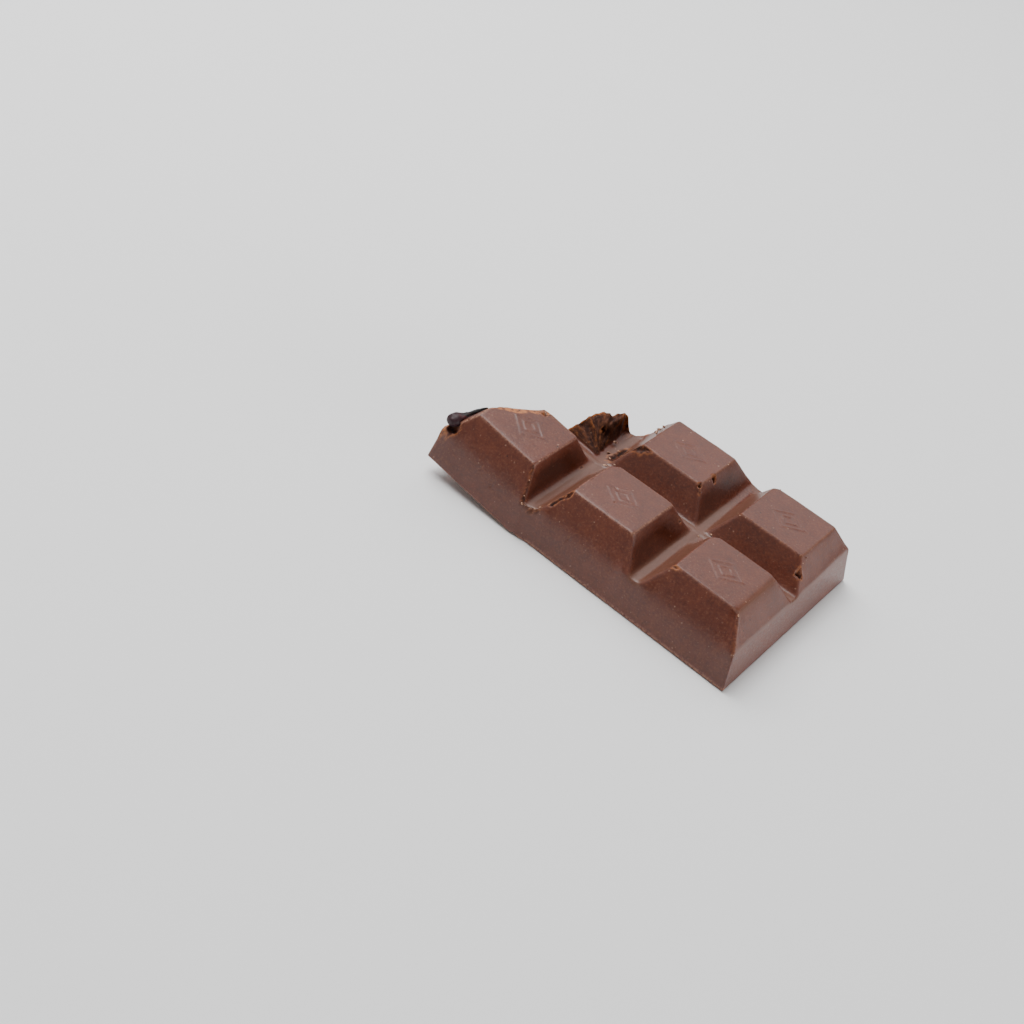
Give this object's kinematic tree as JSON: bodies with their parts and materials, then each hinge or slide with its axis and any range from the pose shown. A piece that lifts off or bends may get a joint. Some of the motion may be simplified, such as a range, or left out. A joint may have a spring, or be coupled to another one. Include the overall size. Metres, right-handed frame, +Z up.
{
  "type": "broken piece of a fruit chocolate bar",
  "caption": "Broken-off end of a milk chocolate bar with tapered squares on a thin plate, one row bent up in its groove and torn, and dried cherry in the break.",
  "frame": {"origin": "middle of the piece's bounding box seen from above, on the surface that its flat back lies on", "axes": "+X along the bar towards its moulded end, +Y across the bar, +Z up out of the flat back towards the tops of the squares"},
  "size_m": [0.061, 0.039, 0.0133],
  "materials": {
    "milk_chocolate": "satin moulded milk chocolate, pinkish brown, matt and darker where it is torn",
    "dried_cherry": "glossy wrinkled dried fruit, nearly black with a purple tint"
  },
  "bodies": {
    "root": {"chocolate": "milk_chocolate", "cherry": "dried_cherry"}
  },
  "joints": []
}
